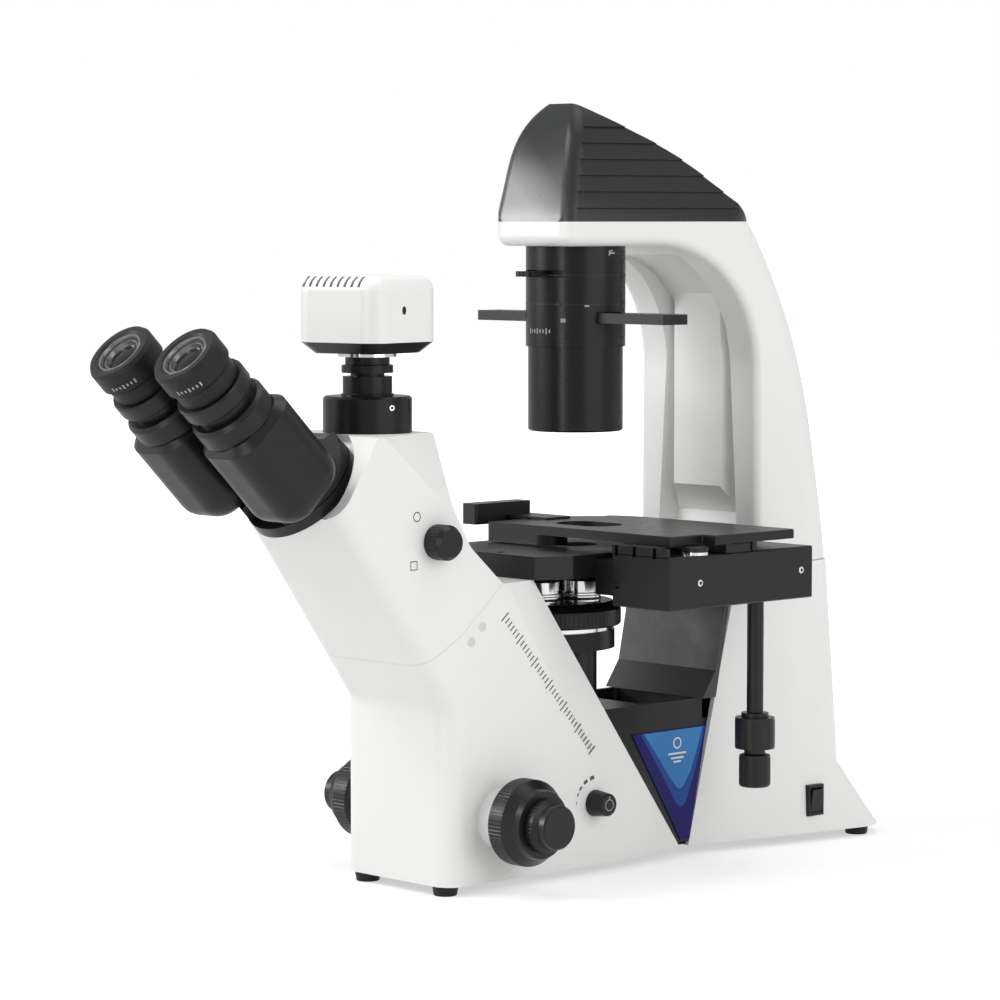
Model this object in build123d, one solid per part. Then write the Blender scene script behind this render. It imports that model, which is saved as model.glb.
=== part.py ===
from build123d import *
import os
from math import atan2, cos, pi, radians, sin, sqrt

# Inverted microscope, millimetres. The origin lies on the bench below the optical axis.
# +Z is up, the user sits at -Y and +X is the user's right hand.

# Clearances
running_gap = 0.05
seat_gap = 0.2
moving_gap = 0.4

# Feet and bottom plate
foot_height = 6.5
foot_radius = 8.5
front_foot_x = 37.0
front_foot_inset = 10.0
rear_foot_x = 59.0
rear_foot_y = 218.0
bottom_plate_thickness = 3.0

# Front section of the stand
body_half = 51.0
side_wall = 8.0
front_wall = 8.0
front_y = -162.0
front_corner_radius = 14.0
crease_z = 120.0
ledge_z = 197.0
ledge_thickness = 8.0
ledge_end_y = -84.0
toe_y = 57.0
bevel_top_y = -111.0
bevel_toe_y = 7.0

# Head
tip_y = -251.0
tip_z = 245.0
rim_top_y = -220.0
head_top_z = 294.0
head_rear_y = -152.0
waist_y = -156.0
waist_z = 245.0
nape_y = -143.0
nape_z = 222.0
seam_y = -115.0
trough_radius = 43.0
head_wall = 8.0

# Rear section of the stand
rear_front_y = 68.0
rear_front_lean = 0.205
rear_front_half = 40.0
rear_mid_half = 60.0
rear_mid_y = 150.0
rear_half = 62.0
rear_y = 217.5
rear_top_y = 204.5
rear_top_z = 194.0
flare_z = 51.0
flare_half = 78.0
flare_y = 244.0
rear_corner_radius = 36.0
rear_wall = 5.0

# Power supply in the rear section
supply_setback = 70.0
supply_width = 60.0
supply_length = 55.0
supply_height = 42.0

# Column and arm
column_front_y = 118.0
column_half = 56.0
arm_front_y = -42.0
arm_front_half = 36.0
arm_under_z = 410.0
arm_top_z = 426.0
arm_corner = 12.0
arm_sweep_radius = 82.0
arm_edge_round = 7.0
column_levels = [
    (0.0, 47.7, 60.5, 0.0),
    (0.2, 47.0, 60.5, 6.5),
    (0.42, 45.0, 60.3, 16.0),
    (0.61, 42.0, 60.0, 28.0),
    (0.78, 38.5, 59.3, 44.0),
    (0.91, 36.3, 58.3, 59.5),
    (1.0, 36.0, 57.6, 73.5),
]
trough_depth = 14.0
trough_sweep_radius = 70.0
trough_bottom_z = 220.0
trough_top_z = 404.0
trough_half = 38.0
trough_top_half = 27.0
trough_wall_lean = 5.0
trough_wall_start = 6.0
pad_half = 30.5
pad_face_half = 21.5
pad_bottom_z = 226.0
pad_face_bottom_z = 246.0
pad_top_z = 385.0
pad_proud = 1.0
chamber_half = 42.0
chamber_top_z = 345.0
chamber_wall = 8.0

# Lamp cover
cover_height = 77.0
cover_end = 12.0
cover_wall = 4.0
cover_front_lean = 14.0
cover_side_lean = 6.5
cover_nose = 14.0
cover_crown = 16.5
cover_corner = 10.0
louvre_count = 6
louvre_pitch = 10.6
louvre_first = 9.0
louvre_depth = 1.4
louvre_setback = 10.5
seam_shadow = 0.7

# Condenser on the optical axis
condenser_radius = 33.0
condenser_bore = 27.5
condenser_step_z = 344.0
condenser_lower_radius = 31.5
condenser_bottom_z = 288.0
slider_z = 363.0
slider_thickness = 6.6
slider_width = 22.0
slider_left = -84.0
slider_right = 93.0
lever_z = 392.0
lever_reach = 52.0

# Stage
support_thickness = 15.0
support_half = 61.0
support_front_y = -86.0
support_chamfer_x = 11.0
support_chamfer_y = 24.0
support_hole_radius = 42.0
support_roof = 2.0
support_light_radius = 15.0
rail_width = 18.5
rail_tongue = 6.5
block_width = 51.0
block_front_y = -46.0
block_rear_y = 90.0
block_bottom_z = 180.0
block_top_z = 214.0
block_lip = 4.0
notch_depth = 7.0
notch_offsets = [4.0, 20.0, 38.0]
plate_left = -53.0
plate_right = 132.0
plate_front_y = -33.0
plate_rear_y = 72.0
plate_rear_sweep = 50.0
plate_rib_end = 8.0
plate_step_x = 120.0
plate_step_y = -4.0
clip_reach = 22.0
clamp_inset = 7.0
clamp_y = -15.0
clamp_radius = 8.7
clamp_shank = 5.0
clip_ledge = 0.5
plate_rib_width = 18.0
plate_top_z = 226.0
plate_thickness = 6.0
skirt_bottom_z = 213.0
guide_y = 20.0
guide_half = 10.0
drop_x = 105.0
drop_y = 63.0
drop_tube_radius = 5.5
drop_tube_end_z = 104.0
upper_knob_radius = 13.0
upper_knob_height = 23.6
lower_knob_radius = 10.2
lower_knob_height = 21.0

# Nosepiece
turret_y = -25.0
turret_radius = 48.0
turret_bottom_z = 161.0
turret_height = 16.0
objective_count = 5
objective_radius = 12.4
objective_tip_z = 202.0
nose_body_radius = 44.0
nose_body_bottom_z = 146.0
nose_rim_radius = 42.5
column_tube_radius = 14.5
column_tube_bore = 11.0

# Focus drive
focus_y = -117.0
focus_z = 47.0
fine_shaft_radius = 4.0
coarse_tube_radius = 7.0
collar_radius = 19.6
collar_length = 15.0
coarse_radius = 27.5
coarse_length = 24.0
fine_radius = 14.0
fine_length = 14.5
pinion_teeth = 20
gear_module = 1.0
backlash = 0.35
guide_rod_radius = 5.0
guide_rod_x = 24.0
guide_rod_y = -80.0
guide_rod_top_z = 138.0
carriage_bottom_z = 68.0
carriage_top_z = 104.0

# Binocular tubes, along an axis that leans towards the user
tube_lean = 45.0
pivot_s = 350.0
pivot_t = 16.0
eye_x = 31.3
eye_drop = 21.8
housing_width = 51.0
housing_height = 54.0
housing_corner = 18.0
housing_offset = 2.5
housing_round = 15.0
housing_start = 20.0
housing_end = 90.6
eye_end = 148.6
eyecup_radius = 22.2
binocular_base_radius = 38.0

# Camera on the third port
camera_y = -184.0
camera_turn = 9.2
port_collar_radius = 28.2
port_collar_height = 23.0
adapter_radius = 15.7
adapter_bore = 8.5
adapter_top_z = 344.0
camera_side = 66.0
camera_base_height = 7.0
camera_height = 41.5

# Controls on the stand
selector_y = -172.0
selector_z = 227.0
selector_radius = 11.0
selector_length = 14.5
dimmer_y = -32.0
dimmer_z = 47.5
dimmer_radius = 8.8
dimmer_length = 13.5
switch_y = 170.0
switch_z = 29.0
switch_face_x = 64.5
inlet_depth = 5.5
inlet_z = 78.0

# Tray and V panels between the two sections
tray_bottom_z = 92.0
tray_height = 14.0
panel_thickness = 3.5
inlay_thickness = 0.8
front_cover_thickness = 4.0

cavity_half = body_half - side_wall
rear_lean_at_top = rear_front_y + rear_front_lean * (rear_top_z - foot_height)
tray_top_z = tray_bottom_z + tray_height
panel_outer = cavity_half - 2.5
plate_floor_z = foot_height + bottom_plate_thickness
support_top_z = ledge_z + support_thickness
rail_outer = support_half + rail_width
block_left = rail_outer + 0.5
block_right = block_left + block_width
turret_top_z = turret_bottom_z + turret_height
pitch_radius = -turret_y
pinion_radius = gear_module * pinion_teeth / 2
lean_cos = cos(radians(tube_lean))
lean_sin = sin(radians(tube_lean))


def outline(corners):
    points = [(corner[0], corner[1]) for corner in corners]
    radii = [corner[2] if len(corner) > 2 else 0 for corner in corners]
    return make_face(FilletPolyline(*points, radius=radii, close=True))


def prism(plane, corners, start, end):
    return plane.offset(start) * extrude(outline(corners), end - start)


def slab(corners, half):
    return prism(Plane.YZ, corners, -half, half)


def rectangle(x0, x1, y0, y1, radius=0):
    return [(x0, y0, radius), (x1, y0, radius), (x1, y1, radius), (x0, y1, radius)]


def block(x0, x1, y0, y1, z0, z1):
    return prism(Plane.XY, rectangle(x0, x1, y0, y1), z0, z1)


def turned(place, corners):
    return place * revolve(Plane.XZ * outline(corners), Axis.Z)


def disc(place, radius, low, high, bore=0):
    return turned(place, [(bore, low), (radius, low), (radius, high), (bore, high)])


def lens(place, radius, low, edge_high, bulge):
    crown = (radius ** 2 + bulge ** 2) / (2 * bulge)
    ball = Pos(0, 0, edge_high + bulge - crown) * Sphere(crown)
    return place * (disc(Plane.XY, radius, low, edge_high + bulge) & ball)


def mirrored(shape):
    return mirror(shape, about=Plane.YZ)


def both_sides(shape):
    return Compound(children=[shape, mirrored(shape)])


def half_space(point, normal, along):
    plane = Plane(origin=point, x_dir=along, z_dir=normal)
    return plane * Box(900, 900, 300, align=(Align.CENTER, Align.CENTER, Align.MIN))


def cross(a, b):
    return (a[1] * b[2] - a[2] * b[1], a[2] * b[0] - a[0] * b[2], a[0] * b[1] - a[1] * b[0])


def across_x(y, z):
    return Plane(origin=(0, y, z), x_dir=(0, 1, 0), z_dir=(1, 0, 0))


def upright(x, y):
    return Plane(origin=(x, y, 0))


optical = upright(0, 0)
focus_axis = across_x(focus_y, focus_z)
turret_axis = upright(0, turret_y)
port_axis = upright(0, camera_y)
pivot_y = pivot_t * lean_cos - pivot_s * lean_sin
pivot_z = pivot_t * lean_cos + pivot_s * lean_sin
pivot_axis = Plane(origin=(0, pivot_y, pivot_z), x_dir=(1, 0, 0), z_dir=(0, -lean_sin, lean_cos))


# Front section and head are one outline, split along the seam
def front_body():
    side = [
        (front_y, foot_height),
        (front_y, crease_z, front_corner_radius),
        (tip_y, tip_z),
        (rim_top_y, head_top_z, 4),
        (head_rear_y, head_top_z, 3),
        (waist_y, waist_z, 30),
        (nape_y, nape_z, 20),
        (seam_y, ledge_z),
        (ledge_end_y, ledge_z),
        (toe_y, foot_height),
    ]
    body = slab(side, body_half)

    def on_prow(edge):
        centre = edge.center()
        return abs(abs(centre.X) - body_half) < 0.01 and centre.Y < front_y + 1 and centre.Z < tip_z - 10

    return fillet(body.edges().filter_by(on_prow), front_corner_radius)


def above_seam(gap):
    return Pos(0, 0, gap) * slab(
        [
            (seam_y + 25, ledge_z + 21),
            (seam_y, ledge_z),
            (seam_y - 35, ledge_z - 30, 25),
            (seam_y - 73, ledge_z - 51, 20),
            (tip_y - 50, ledge_z - 54),
            (tip_y - 50, head_top_z + 40),
            (seam_y + 25, head_top_z + 40),
        ],
        body_half + 20,
    )


def base_front(body):
    shell = body - above_seam(-seat_gap)
    shell -= slab(
        [
            (front_y + front_wall, foot_height - 1),
            (front_y + front_wall, crease_z),
            (front_y - 10, crease_z + 28),
            (seam_y - 35, ledge_z - 37),
            (seam_y - 11, ledge_z - ledge_thickness - 1),
            (seam_y, ledge_z - ledge_thickness),
            (ledge_end_y + 20, ledge_z - ledge_thickness),
            (toe_y + 20, foot_height - 1),
        ],
        cavity_half,
    )
    top = (body_half, bevel_top_y, ledge_z)
    down = (0, bevel_toe_y - bevel_top_y, foot_height - ledge_z)
    inward = (cavity_half - body_half, toe_y - bevel_toe_y, 0)
    bevel = half_space(top, cross(down, inward), down)
    shell = shell - bevel - mirrored(bevel)
    shell -= disc(focus_axis, coarse_tube_radius + 2, -body_half - 5, body_half + 5)
    shell -= disc(across_x(dimmer_y, dimmer_z), 3 + running_gap, cavity_half - 5, body_half + 5)
    return shell


def head_casing(body):
    head = body & above_seam(0)
    head -= disc(pivot_axis, trough_radius, 0, 90)
    low = (body_half, seam_y - 53, ledge_z + 56)
    facet = half_space(low, (0.857, 0.339, 0.389), (0, 0.754, -0.657))
    head = head - facet - mirrored(facet)
    inner = (pivot_s - head_wall / sqrt(2) * 1.1) * sqrt(2)
    belly = (tip_y - front_y) / (tip_z - crease_z)
    low_z = crease_z + 20
    low_y = front_y + head_wall + belly * (low_z - crease_z)
    corner_z = (inner + low_y - belly * low_z) / (1 - belly)
    corner_y = corner_z - inner
    roof_z = head_top_z - head_wall
    head -= slab(
        [
            (low_y, low_z),
            (corner_y, corner_z),
            (roof_z - inner, roof_z),
            (head_rear_y - head_wall, roof_z),
            (waist_y - head_wall, waist_z),
            (nape_y - head_wall, nape_z - 6),
            (seam_y - 12, ledge_z - 5),
            (seam_y - 28, ledge_z - 50),
        ],
        cavity_half - 10,
    )
    head -= disc(port_axis, 16 + running_gap, head_top_z - 30, head_top_z + 20)
    head -= disc(across_x(selector_y, selector_z), 4 + running_gap, 0, body_half + 5)
    head -= disc(pivot_axis, 12, -30, 10)
    return head


# Rear section of the stand
def rear_plan(z, half, depth, corner, inset):
    front = rear_front_y + inset - (15 if inset else 0)
    mid = rear_mid_half - inset
    return Plane.XY.offset(z) * outline(
        [
            (-rear_front_half + inset, front),
            (rear_front_half - inset, front),
            (mid, rear_mid_y, 20),
            (half - inset, depth - inset, corner - inset),
            (inset - half, depth - inset, corner - inset),
            (-mid, rear_mid_y, 20),
        ]
    )


def rear_form(inset, low_z, high_z):
    foot = rear_plan(low_z, flare_half, flare_y, rear_corner_radius - 6, inset)
    waist = rear_plan(flare_z, rear_half, rear_y, rear_corner_radius, inset)
    crown = rear_plan(high_z, rear_half, rear_top_y, rear_corner_radius, inset)
    return loft([foot, waist], ruled=True) + loft([waist, crown], ruled=True)


def rear_front_line(shift, half, low, high, depth):
    lean = rear_front_lean
    return slab(
        [
            (rear_front_y + shift + lean * (low - foot_height), low),
            (rear_front_y + shift + lean * (high - foot_height), high),
            (rear_front_y + shift + depth + lean * (high - foot_height), high),
            (rear_front_y + shift + depth + lean * (low - foot_height), low),
        ],
        half,
    )


def base_rear():
    shell = rear_form(0, foot_height, rear_top_z)
    shell -= rear_form(rear_wall, foot_height - 1, rear_top_z - rear_wall)
    shell -= rear_front_line(-60, 100, foot_height - 5, rear_top_z + 5, 60)
    half_y = 7.7
    half_z = 10.8
    floor_x = switch_face_x - 5
    shell -= block(floor_x, 90, switch_y - half_y, switch_y + half_y, switch_z - half_z, switch_z + half_z)
    shell -= block(0, 90, switch_y - 6.8, switch_y + 6.8, switch_z - 9.5, switch_z + 9.5)
    pocket_y = rear_y - inlet_depth
    shell -= block(-24.2, 24.2, pocket_y, rear_y + 20, inlet_z - 14.2, inlet_z + 14.2)
    shell -= block(-14, 14, rear_y - 30, rear_y + 20, inlet_z - 10, inlet_z + 10)
    return shell


def bottom_plate():
    top_half = cavity_half - seat_gap
    front = block(-top_half, top_half, front_y + front_wall + seat_gap, toe_y - 2, foot_height, plate_floor_z)
    rear = rear_form(rear_wall + seat_gap, foot_height - 1, rear_top_z - rear_wall)
    rear = rear & block(-200, 200, rear_front_y + 1, 400, foot_height, plate_floor_z)
    bridge_half = rear_front_half - rear_wall - 1
    bridge = block(-bridge_half, bridge_half, toe_y - 20, rear_front_y + 30, foot_height, plate_floor_z)
    return front + rear + bridge


def rubber_feet():
    places = [(front_foot_x, front_y + front_foot_inset), (rear_foot_x, rear_foot_y)]
    profile = [(0, 0), (foot_radius - 1, 0, 0.8), (foot_radius, foot_height), (0, foot_height)]
    feet = [turned(upright(x, y), profile) for x, y in places]
    return Compound(children=feet + [mirrored(foot) for foot in feet])


# Column with the curved arm over the stage
def column_section(level, inset):
    share, front_half, rear_half, back = level
    widen = arm_front_half - column_levels[-1][1]
    depth = rear_top_y - back - inset
    rear_round = rear_corner_radius - inset
    front = arm_front_y + inset
    return [
        (inset - front_half - widen, front, arm_corner - inset),
        (front_half + widen - inset, front, arm_corner - inset),
        (rear_half + widen - inset, depth, rear_round),
        (inset - rear_half - widen, depth, rear_round),
    ]


def column_trough():
    back = column_front_y + trough_depth
    ahead = column_front_y - arm_sweep_radius
    side = slab(
        [
            (ahead, trough_bottom_z),
            (back, trough_bottom_z),
            (back, trough_top_z, trough_sweep_radius),
            (ahead, trough_top_z),
        ],
        column_half,
    )
    sections = []
    for half, z in ((trough_half, trough_bottom_z), (trough_top_half, trough_top_z)):
        lean_start = column_front_y - trough_wall_start
        corners = [
            (-half, ahead),
            (half, ahead),
            (half, lean_start),
            (half - trough_wall_lean, back + 1),
            (trough_wall_lean - half, back + 1),
            (-half, lean_start),
        ]
        sections.append(Plane.XY.offset(z) * outline(corners))
    return side & loft(sections, ruled=True)


def column_pad():
    face = Plane(origin=(0, column_front_y + trough_depth + 1, 0), x_dir=(1, 0, 0), z_dir=(0, -1, 0))
    root = [(-pad_half, pad_bottom_z), (pad_half, pad_bottom_z), (pad_half, pad_top_z), (-pad_half, pad_top_z)]
    front = [
        (-pad_face_half, pad_face_bottom_z),
        (pad_face_half, pad_face_bottom_z),
        (pad_face_half, pad_top_z),
        (-pad_face_half, pad_top_z),
    ]
    rise = trough_depth + 1 + pad_proud
    return loft([face * outline(root), face.offset(rise) * outline(front)], ruled=True)


def column_arm():
    low = rear_top_z + seam_shadow
    side = slab(
        [
            (column_front_y, low),
            (column_front_y, arm_under_z, arm_sweep_radius),
            (arm_front_y - 5, arm_under_z),
            (arm_front_y - 5, arm_top_z),
            (rear_top_y + 5, arm_top_z),
            (rear_top_y + 5, low),
        ],
        column_half * 2,
    )
    levels = []
    for level in column_levels:
        z = low + (arm_top_z - low) * level[0]
        levels.append(Plane.XY.offset(z) * outline(column_section(level, 0)))
    column = side & loft(levels)

    def on_inner_edge(edge):
        centre = edge.center()
        inner = centre.Y < column_front_y + 1 and centre.Z < arm_under_z + 1
        return inner and abs(centre.X) > arm_front_half - 2 and centre.Y > arm_front_y + arm_corner - 4

    column = fillet(column.edges().filter_by(on_inner_edge), arm_edge_round)
    column -= column_trough()
    column += column_pad()
    plinth_top = rear_top_z + 4
    plinth = prism(Plane.XY, column_section(column_levels[0], 1.5), rear_top_z, plinth_top)
    keep = block(-column_half * 2, column_half * 2, column_front_y + 1.5, rear_top_y, rear_top_z, plinth_top)
    column += plinth & keep
    chamber_front = column_front_y + trough_depth + chamber_wall
    column -= slab(
        [
            (chamber_front, rear_top_z - 4),
            (chamber_front, chamber_top_z),
            (chamber_front + 24, chamber_top_z),
            (rear_top_y - 17, rear_top_z - 4),
        ],
        chamber_half,
    )
    column -= disc(optical, 21, arm_under_z - 1, arm_top_z + 1)
    column -= disc(optical, 24, arm_under_z + 3, arm_top_z + 1)
    return column


# Black lamp cover with stepped louvres along its sides
cover_top_z = arm_top_z + cover_height
cover_rise = cover_height + 0.5
cover_rear = rear_top_y - 30
cover_slope = (column_half - arm_front_half) / (column_front_y - arm_front_y)


def cover_half(share):
    return arm_front_half - cover_side_lean * share - cover_crown * share ** 5


def cover_front(share):
    return arm_front_y + cover_front_lean * share + cover_nose * share ** 5


def cover_section(share, inset):
    front = cover_front(share)
    half = cover_half(share) - inset
    corner = cover_corner - inset - 5 * share ** 5
    rear_half = half + (cover_rear - front) * cover_slope
    drop = inset if share > 0 else 0
    return Plane.XY.offset(arm_top_z + cover_rise * share - drop) * outline(
        [
            (-half, front + inset, corner),
            (half, front + inset, corner),
            (rear_half, cover_rear),
            (-rear_half, cover_rear),
        ]
    )


def cover_form(inset):
    wedge = loft([cover_section(share, inset) for share in (0, 0.3, 0.55, 0.75, 0.88, 0.96, 1)])
    start = cover_front(1) + inset
    end = rear_top_y - column_levels[-1][3] - cover_end - inset
    run = end - start
    rise = cover_height + 0.3
    ridge = Spline(
        (start, cover_top_z + 0.3 - inset),
        (start + run * 0.08, cover_top_z - rise * 0.07 - inset),
        (start + run * 0.3, cover_top_z - rise * 0.256 - inset),
        (start + run * 0.58, cover_top_z - rise * 0.515 - inset),
        (start + run * 0.76, cover_top_z - rise * 0.72 - inset),
        (start + run * 0.885, cover_top_z - rise * 0.86 - inset),
        (end, arm_top_z - inset),
    )
    rest = Polyline(
        (end, arm_top_z - inset),
        (arm_front_y - 20, arm_top_z - inset),
        (arm_front_y - 20, cover_top_z + 0.3 - inset),
        (start, cover_top_z + 0.3 - inset),
    )
    side = Plane.YZ * make_face(ridge.edges() + rest.edges())
    plan = prism(Plane.XY, column_section(column_levels[-1], inset), arm_top_z - inset, cover_top_z + 5)
    return wedge & extrude(side, 100, both=True) & plan


def louvre_step(low, high):
    turn = atan2(cover_slope, 1)
    along = Plane(origin=(0, 0, 0), x_dir=(cos(turn), -sin(turn), 0), z_dir=(-sin(turn), -cos(turn), 0))
    reach = []
    for z in (low, high):
        share = (z - arm_top_z) / cover_rise
        reach.append((cover_half(share) - cover_front(share) * cover_slope) * cos(turn))
    start = cover_front((high - arm_top_z) / cover_rise) + louvre_setback
    corners = [(reach[1] - louvre_depth, high), (reach[0], low), (reach[0] + 12, low), (reach[1] + 12, high)]
    return prism(along, corners, -cover_rear - 30, -start)


def lamp_cover():
    cover = cover_form(0) - cover_form(cover_wall)
    low = arm_top_z
    high = arm_top_z + louvre_first
    for step in range(louvre_count):
        tread = louvre_step(low, high)
        cover = cover - tread - mirrored(tread)
        low = high
        high = low + louvre_pitch
    return cover


def lamp_unit():
    body = disc(optical, 26, arm_top_z, arm_top_z + 6, bore=16)
    for step in range(4):
        z = arm_top_z + 6 + step * 4.5
        body += disc(optical, 18, z, z + 2)
        body += disc(optical, 26, z + 2, z + 4.5)
    return body


# Condenser hanging under the arm
def condenser_upper():
    barrel = turned(
        optical,
        [
            (condenser_bore, condenser_step_z),
            (condenser_radius, condenser_step_z),
            (condenser_radius, arm_under_z),
            (condenser_bore, arm_under_z),
            (condenser_bore, lever_z - 3.3),
            (22, lever_z - 3.3),
            (22, lever_z - 6),
            (condenser_bore, lever_z - 6),
        ],
    )
    half = slider_width / 2 + moving_gap
    rise = slider_thickness / 2 + moving_gap
    barrel -= block(-60, 60, -half, half, slider_z - rise, slider_z + rise)
    wedge = [(0, 0), (-40, -60), (40, -60)]
    barrel -= prism(Plane.XY, wedge, lever_z - 2.4, lever_z + 2.4)
    return barrel


def condenser_lower():
    return turned(
        optical,
        [
            (20, condenser_bottom_z),
            (condenser_lower_radius - 1, condenser_bottom_z),
            (condenser_lower_radius, condenser_bottom_z + 1),
            (condenser_lower_radius, condenser_step_z),
            (24, condenser_step_z),
            (24, condenser_bottom_z + 4),
            (20, condenser_bottom_z + 4),
        ],
    )


def condenser_lens():
    return lens(optical, 24 - seat_gap, condenser_bottom_z + 4, condenser_bottom_z + 9, 7)


def aperture_lever():
    ring = disc(optical, condenser_bore - moving_gap, lever_z - 3, lever_z + 3, bore=20)
    arm = prism(Plane.XY, rectangle(-4, 4, -lever_reach, -23, 1.5), lever_z - 1.8, lever_z + 1.8)
    tip = disc(upright(0, 4 - lever_reach), 5, lever_z - 1.8, lever_z + 1.8)
    return ring + arm + tip


def phase_slider():
    half = slider_width / 2
    rise = slider_thickness / 2
    plan = rectangle(slider_left, slider_right, -half, half, 2)
    bar = prism(Plane.XY, plan, slider_z - rise, slider_z + rise)
    for x in (-34, 0, 34):
        bar -= disc(upright(x, 0), 8.5, slider_z - 10, slider_z + 10)
    return bar


# Stage: fixed support, side rail, carriage block that slides in Y and plate that slides in X
def stage_support():
    nose = support_half - support_chamfer_x
    edge = support_front_y + support_chamfer_y
    plate = prism(
        Plane.XY,
        [
            (-nose, support_front_y, 2),
            (nose, support_front_y, 2),
            (support_half, edge, 4),
            (support_half, column_front_y),
            (-support_half, column_front_y),
            (-support_half, edge, 4),
        ],
        ledge_z,
        support_top_z,
    )
    plate -= disc(turret_axis, support_hole_radius, ledge_z - 1, support_top_z - support_roof)
    plate -= disc(optical, support_light_radius, ledge_z, support_top_z + 1)
    for x in (-36, 9):
        plate -= disc(upright(x, support_front_y + 9), 3.2, support_top_z - 8, support_top_z + 1)
    return plate


def stage_rail():
    low = support_top_z - 26
    high = support_top_z - 3
    tongue_z = support_top_z - 17
    return prism(
        Plane(origin=(0, 0, 0), x_dir=(1, 0, 0), z_dir=(0, -1, 0)),
        [
            (support_half, low),
            (rail_outer, low),
            (rail_outer, tongue_z - 3),
            (rail_outer + rail_tongue, tongue_z - 3),
            (rail_outer + rail_tongue, tongue_z + 3),
            (rail_outer, tongue_z + 3),
            (rail_outer, high),
            (support_half, high),
        ],
        -column_front_y + 6,
        -block_front_y - 4,
    )


def stage_block():
    body = block(block_left, block_right, block_front_y, block_rear_y, block_bottom_z, block_top_z)
    body = chamfer(body.edges(), 0.8)
    tongue_z = support_top_z - 17
    slot = block(block_left - 5, rail_outer + rail_tongue + 0.5, block_front_y - 5, block_rear_y + 5,
                 tongue_z - 3.5, tongue_z + 3.5)
    body -= slot
    lip_top = plate_top_z - plate_thickness - 0.5
    body += block(block_left, block_right - 3, block_front_y, block_front_y + block_lip, block_top_z, lip_top)
    for offset in notch_offsets:
        notch_x = block_left + offset
        notch_floor = lip_top - notch_depth
        body -= block(notch_x - 1.5, notch_x + 1.5, block_front_y - 1, block_front_y + 3, notch_floor, lip_top + 1)
    guide_top = plate_top_z - plate_thickness - 0.5
    body += block(block_left, block_right, guide_y - guide_half, guide_y + guide_half, block_top_z, guide_top)
    body += disc(drop_axis, drop_tube_radius, drop_tube_end_z, block_bottom_z)
    body -= disc(drop_axis, 4 + running_gap, drop_tube_end_z - 1, block_bottom_z + 16)
    body -= disc(drop_axis, 2.5 + running_gap, block_bottom_z, block_bottom_z + 24)
    return body


drop_axis = upright(drop_x, drop_y)


def stage_plate():
    under = plate_top_z - plate_thickness
    plate = prism(
        Plane.XY,
        [
            (plate_left, plate_front_y, 6),
            (plate_step_x, plate_front_y, 2),
            (plate_step_x, plate_step_y, 1),
            (plate_right, plate_step_y, 1),
            (plate_right, plate_rear_y, 3),
            (plate_left, plate_rear_y, plate_rear_sweep),
        ],
        under,
        plate_top_z,
    )
    plate = chamfer(plate.faces().sort_by(Axis.Z)[-1].edges(), 0.7)
    rib_rear = plate_front_y + plate_rib_width
    plate += prism(
        Plane.XY,
        [
            (plate_left, plate_front_y, 6),
            (plate_rib_end, plate_front_y, 12),
            (plate_rib_end, rib_rear),
            (plate_left, rib_rear),
        ],
        skirt_bottom_z,
        under,
    )
    for sign in (-1, 1):
        near = guide_y + sign * (guide_half + moving_gap)
        far = near + sign * 4
        strip_low = block_top_z + moving_gap
        plate += block(plate_right - 92, plate_right, min(near, far), max(near, far), strip_low, under)
    clip_end = plate_left + clip_reach + 0.5
    ledge_z = plate_top_z - clip_ledge
    plate -= block(plate_left - 1, clip_end, plate_front_y - 1, plate_rear_y + 1, ledge_z, plate_top_z + 1)
    return plate - prism(Plane.XY, rectangle(-14, 34, -13, 19, 15), skirt_bottom_z, plate_top_z + 1)


def specimen_clip():
    bar_left = plate_left - 31
    bar = prism(Plane.XY, rectangle(bar_left, plate_left - 17, -25, 27, 2), plate_top_z - 4, plate_top_z + 10)
    arm_plan = rectangle(bar_left, plate_left + clip_reach, 4, 27, 2)
    arm = prism(Plane.XY, arm_plan, plate_top_z - clip_ledge, plate_top_z + 1.5)
    return bar + arm


def clamp_screw():
    top = plate_top_z - plate_thickness - 0.5
    return turned(
        upright(block_right - clamp_inset, clamp_y),
        [
            (0, block_top_z),
            (clamp_shank, block_top_z),
            (clamp_shank, block_top_z + 2.3),
            (clamp_radius, block_top_z + 2.3),
            (clamp_radius, top - 0.6),
            (clamp_radius - 0.6, top),
            (0, top),
        ],
    )


def y_drive_knob():
    top = drop_tube_end_z - moving_gap
    low = top - upper_knob_height
    knob = disc(drop_axis, upper_knob_radius, low, top - 3, bore=2.5 + running_gap)
    knob += disc(drop_axis, upper_knob_radius - 4, top - 3, top, bore=2.5 + running_gap)
    knob += disc(drop_axis, 4, top, block_bottom_z + 15, bore=2.5 + running_gap)
    return knob


def x_drive_knob():
    top = drop_tube_end_z - moving_gap - upper_knob_height - moving_gap
    low = top - 4 - lower_knob_height
    knob = turned(drop_axis, [(0, low), (lower_knob_radius - 1, low), (lower_knob_radius, low + 1),
                              (lower_knob_radius, top - 4), (7, top - 3), (7, top), (0, top)])
    knob += disc(drop_axis, 2.5, top, block_bottom_z + 23)
    return knob


# Nosepiece on the lifting carriage
def lift_carriage():
    front = guide_rod_y - 12
    rear = guide_rod_y + 12
    body = block(-33, 33, front, rear, carriage_bottom_z, carriage_top_z)
    for x in (-guide_rod_x, guide_rod_x):
        rod_bore = guide_rod_radius + running_gap
        body -= disc(upright(x, guide_rod_y), rod_bore, carriage_bottom_z - 1, carriage_top_z + 1)
    body += block(-12, 12, rear, 0, carriage_bottom_z, carriage_bottom_z + 16)
    body += disc(optical, column_tube_radius, carriage_bottom_z, nose_body_bottom_z)
    body -= disc(optical, column_tube_bore, carriage_bottom_z - 1, nose_body_bottom_z + 1)
    return body


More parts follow.
